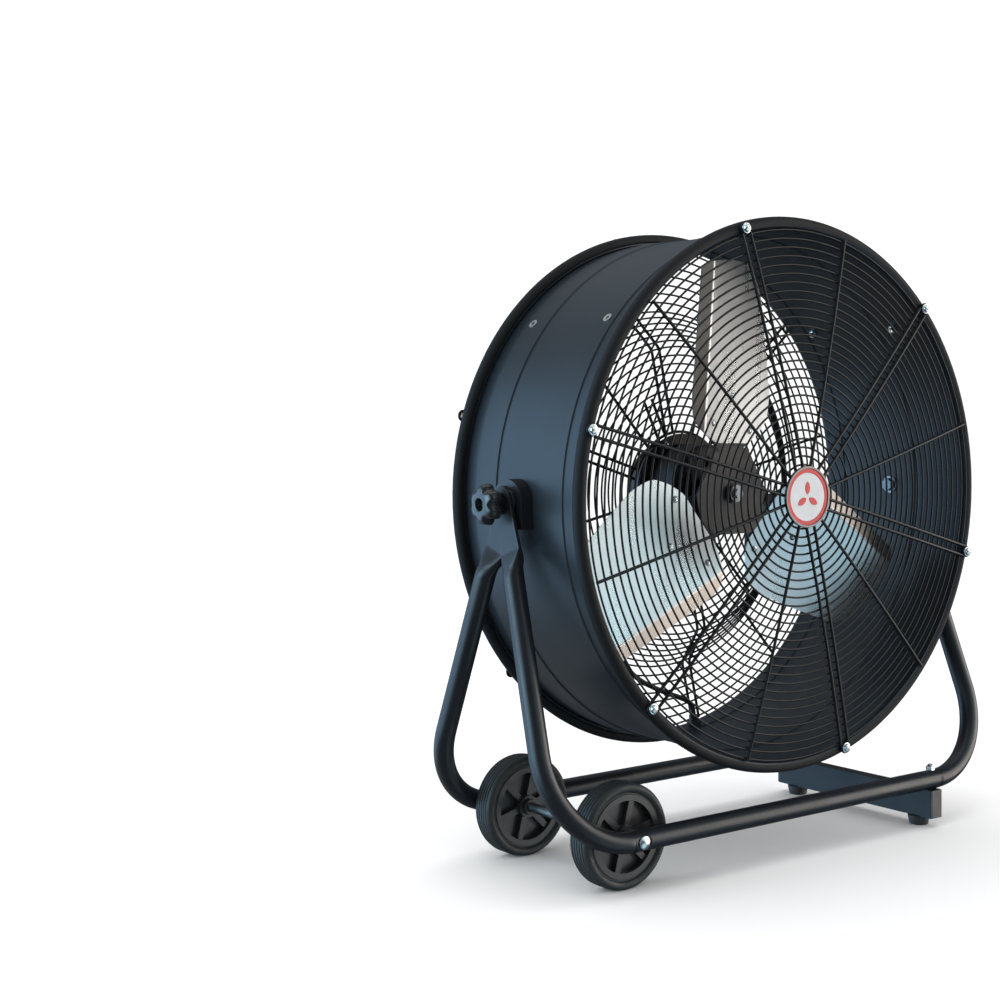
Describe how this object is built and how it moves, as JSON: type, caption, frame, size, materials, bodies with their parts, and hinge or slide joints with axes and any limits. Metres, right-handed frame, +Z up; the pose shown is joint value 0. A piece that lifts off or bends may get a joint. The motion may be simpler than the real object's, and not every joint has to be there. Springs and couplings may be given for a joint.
{
  "type": "axial air mover",
  "caption": "Wheeled drum fan: an axial impeller behind wire guards in a steel barrel that tilts between two bent tube frames.",
  "frame": {"origin": "on the floor, under the middle of the whole fan", "axes": "+Z up, -Y the way the air leaves, +X towards the foot beam and away from the wheels"},
  "size_m": [0.775, 0.3, 0.8],
  "materials": {
    "drum_paint": "satin black powder coat",
    "guard_paint": "gloss black",
    "frame_paint": "satin black powder coat",
    "beam_paint": "satin dark grey",
    "bright_zinc": "bright zinc",
    "dull_zinc": "dull zinc",
    "motor_paint": "satin black",
    "ground_steel": "ground",
    "core_steel": "stacked sheet",
    "copper": "lacquered copper wire",
    "capacitor_case": "matte",
    "black_plastic": "moulded matte",
    "lead_jacket": "satin",
    "blade_aluminium": "bright rolled sheet",
    "foot_rubber": "matte",
    "tyre_rubber": "ribbed tread",
    "knob_plastic": "gloss moulded",
    "insert_brass": "turned",
    "badge_black": "gloss",
    "badge_red": "gloss print",
    "badge_silver": "satin silver"
  },
  "bodies": {
    "stand": {"front_frame_tube": "frame_paint", "rear_frame_tube": "frame_paint", "foot_beam": "beam_paint", "beam_end_caps": "black_plastic", "rubber_feet": "foot_rubber", "beam_bolts": "dull_zinc", "beam_cap_nuts": "bright_zinc", "wheel_axle": "dull_zinc", "axle_end_bolts": "bright_zinc", "axle_collars": "black_plastic"},
    "impeller": {"motor_shaft": "ground_steel", "rotor_core": "core_steel", "hub_spider": "motor_paint", "hub_bushing": "motor_paint", "hub_bolt": "dull_zinc", "blade_1": "blade_aluminium", "blade_2": "blade_aluminium", "blade_3": "blade_aluminium", "blade_rivets": "bright_zinc"},
    "front_wheel": {"front_wheel_tyre": "tyre_rubber", "front_wheel_hub": "black_plastic"},
    "rear_wheel": {"rear_wheel_tyre": "tyre_rubber", "rear_wheel_hub": "black_plastic"},
    "left_clamp": {"left_knob": "knob_plastic", "left_knob_insert": "insert_brass"},
    "right_clamp": {"right_knob": "knob_plastic", "right_knob_insert": "insert_brass"},
    "speed_selector": {"speed_knob": "knob_plastic"},
    "drum": {"drum_shell": "drum_paint", "pivot_bosses": "frame_paint", "pivot_bolts": "dull_zinc", "rivet_nuts": "bright_zinc", "front_guard_rings": "guard_paint", "front_guard_spokes": "guard_paint", "front_guard_screws": "bright_zinc", "badge_bezel": "badge_black", "badge_ring": "badge_red", "badge_face": "badge_silver", "badge_mark": "badge_red", "rear_guard_rings": "guard_paint", "rear_guard_spokes": "guard_paint", "rear_guard_screws": "bright_zinc", "guard_strap": "guard_paint", "motor_mount_plate": "guard_paint", "motor_mount_bolts": "bright_zinc", "motor_case": "motor_paint", "motor_front_bell": "motor_paint", "motor_rear_cap": "motor_paint", "front_bearing": "ground_steel", "rear_bearing": "ground_steel", "stator_core": "core_steel", "stator_windings": "copper", "run_capacitor": "capacitor_case", "speed_switch": "black_plastic", "motor_lead": "lead_jacket", "lead_sleeve": "black_plastic", "lead_gland": "black_plastic", "lead_ties": "black_plastic"}
  },
  "joints": [
    {"name": "drum_tilt", "type": "hinge", "parent": "stand", "child": "drum", "pos_m": [0, 0.00425, 0.455], "axis": [1, 0, 0], "range_deg": [-90, 90]},
    {"name": "impeller_spin", "type": "hinge", "parent": "drum", "child": "impeller", "pos_m": [0, -0.00075, 0.455], "axis": [0, 1, 0], "continuous": true},
    {"name": "front_wheel_spin", "type": "hinge", "parent": "stand", "child": "front_wheel", "pos_m": [-0.258, -0.09175, 0.0635], "axis": [0, 1, 0], "continuous": true},
    {"name": "rear_wheel_spin", "type": "hinge", "parent": "stand", "child": "rear_wheel", "pos_m": [-0.258, 0.10025, 0.0635], "axis": [0, 1, 0], "continuous": true},
    {"name": "left_knob_turn", "type": "hinge", "parent": "drum", "child": "left_clamp", "pos_m": [-0.37, 0.00425, 0.455], "axis": [-1, 0, 0], "range_deg": [0, 360]},
    {"name": "right_knob_turn", "type": "hinge", "parent": "drum", "child": "right_clamp", "pos_m": [0.37, 0.00425, 0.455], "axis": [1, 0, 0], "range_deg": [0, 360]},
    {"name": "speed_select", "type": "hinge", "parent": "drum", "child": "speed_selector", "pos_m": [0, 0.11925, 0.491], "axis": [0, 1, 0], "range_deg": [-45, 45]}
  ]
}
